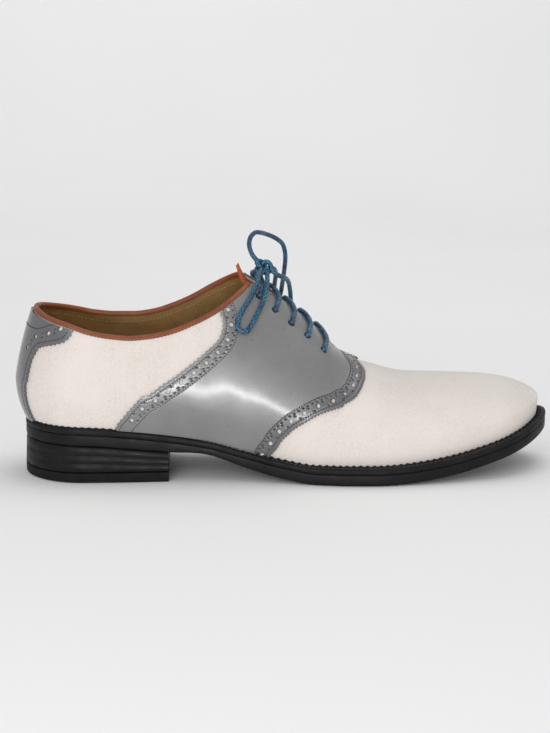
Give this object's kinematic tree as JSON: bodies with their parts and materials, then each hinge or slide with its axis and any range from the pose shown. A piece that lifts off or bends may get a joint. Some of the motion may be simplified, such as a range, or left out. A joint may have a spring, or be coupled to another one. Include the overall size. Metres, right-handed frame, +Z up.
{
  "type": "saddle shoe",
  "caption": "Right lace-up saddle shoe: hollow off-white upper, grey saddle and counter overlays, tongue, blue round laces, welted black sole with a low heel.",
  "frame": {"origin": "floor under the middle of the shoe's box, measured without the bow", "axes": "+X to the toe, +Y to the wearer's left (inner side), +Z up"},
  "size_m": [0.3172, 0.1038, 0.14],
  "materials": {
    "white_nubuck": "matt brushed nubuck",
    "grey_leather": "smooth semi-gloss calf",
    "tongue_leather": "matt orange-tan",
    "tan_lining": "unfinished lining",
    "binding_leather": "rolled edge, waxed",
    "welt_black": "wheeled and waxed",
    "sole_black": "burnished edge",
    "top_piece_rubber": "matt",
    "blue_lace": "waxed round braid"
  },
  "bodies": {
    "root": {"upper": "white_nubuck", "saddle": "grey_leather", "heel_counter": "grey_leather", "tongue": "tongue_leather", "insole": "tan_lining", "welt": "welt_black", "outsole": "sole_black", "heel_block": "sole_black", "heel_top_piece": "top_piece_rubber", "collar_binding": "binding_leather", "lace_bar_1": "blue_lace", "lace_bar_2": "blue_lace", "lace_bar_3": "blue_lace", "lace_bar_4": "blue_lace", "lace_bar_5": "blue_lace", "lace_knot": "blue_lace", "lace_loop_lateral": "blue_lace", "lace_loop_medial": "blue_lace", "lace_end_1": "blue_lace", "lace_end_2": "blue_lace"}
  },
  "joints": []
}
